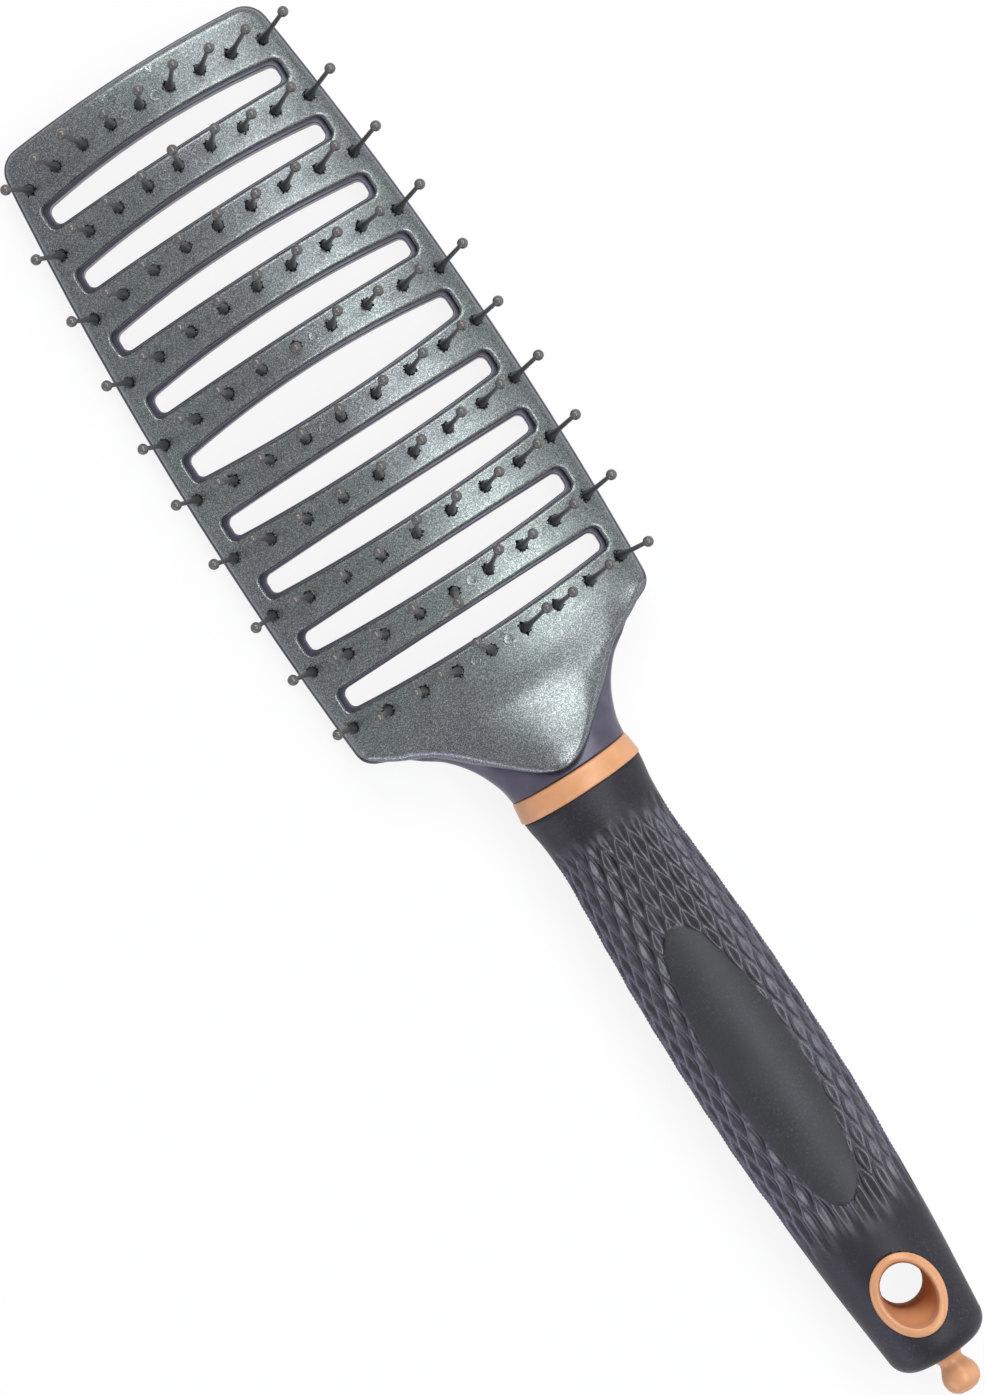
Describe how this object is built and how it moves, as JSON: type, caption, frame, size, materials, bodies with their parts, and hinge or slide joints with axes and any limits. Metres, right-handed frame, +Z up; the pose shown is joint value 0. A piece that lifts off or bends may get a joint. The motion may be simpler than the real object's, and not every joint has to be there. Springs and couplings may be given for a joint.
{
  "type": "vent brush",
  "caption": "Flat vent hair brush with a slotted arched head, rows of ball-tipped pins, a rubber handle and a hanging eyelet.",
  "frame": {"origin": "on the table below the middle of the whole length and width, with the brush lying on its back", "axes": "+Y along the handle's axis towards the head's tip, +X across the brush to the right when the head points away and the pins point up, +Z up, the way the pins point"},
  "size_m": [0.0627, 0.25, 0.0254],
  "materials": {
    "face_coat": "metallic dark grey coat, satin",
    "frame_plastic": "smooth metallic purple-grey coat",
    "pin_plastic": "semi-gloss dark grey",
    "grip_rubber": "soft black, raised diamond net",
    "copper_coat": "glossy copper-coloured metal coat"
  },
  "bodies": {
    "root": {"back_frame": "frame_plastic", "front_plate": "face_coat", "ring": "copper_coat", "grip": "grip_rubber", "eyelet": "copper_coat", "tail_knob": "copper_coat", "pins_row_01": "pin_plastic", "pins_row_02": "pin_plastic", "pins_row_03": "pin_plastic", "pins_row_04": "pin_plastic", "pins_row_05": "pin_plastic", "pins_row_06": "pin_plastic", "pins_row_07": "pin_plastic", "pins_row_08": "pin_plastic", "pins_row_09": "pin_plastic", "pins_row_10": "pin_plastic"}
  },
  "joints": []
}
